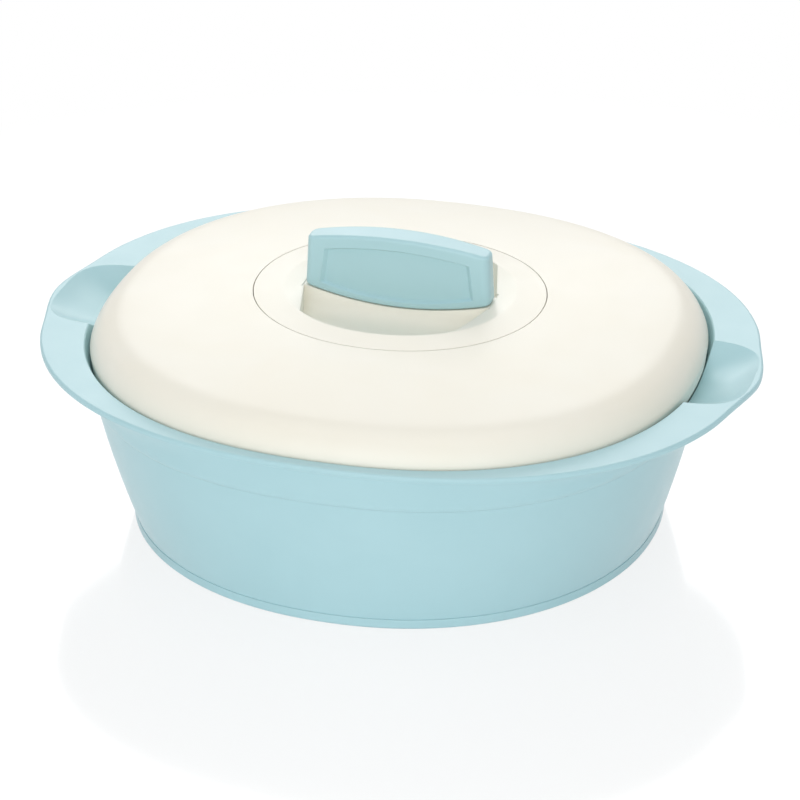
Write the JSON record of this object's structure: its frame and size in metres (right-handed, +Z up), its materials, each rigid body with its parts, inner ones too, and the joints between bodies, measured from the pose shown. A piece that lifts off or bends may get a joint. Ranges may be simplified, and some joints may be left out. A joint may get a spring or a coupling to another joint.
{
  "type": "plastic casserole",
  "caption": "Low insulated serving casserole: flared bowl on a foot ring, wide flange with ear handles and thumb scoops, and a loose domed lid with a bar grip between two finger troughs.",
  "frame": {"origin": "middle of the foot ring on the table", "axes": "+X to an ear handle, -Y to the front, +Z up"},
  "size_m": [0.2832, 0.2314, 0.1138],
  "materials": {
    "blue_plastic": "moulded satin polypropylene, light blue",
    "cream_plastic": "moulded satin polypropylene, cream",
    "liner_plastic": "moulded smooth polypropylene, off-white",
    "foam": "rigid polyurethane foam, pale yellow",
    "screw_steel": "zinc-plated steel"
  },
  "bodies": {
    "bowl": {"base_plate": "blue_plastic", "outer_shell": "blue_plastic", "rim_collar": "blue_plastic", "bowl_insulation": "foam", "food_liner": "liner_plastic"},
    "lid": {"lid_shell": "cream_plastic", "lid_liner": "liner_plastic", "lid_insulation": "foam", "handle_base": "cream_plastic", "handle_grip": "blue_plastic", "handle_screws": "screw_steel"}
  },
  "joints": [
    {"name": "lid_lift", "type": "slide", "parent": "bowl", "child": "lid", "axis": [0, 0, 1], "range_m": [0, 0.12]}
  ]
}
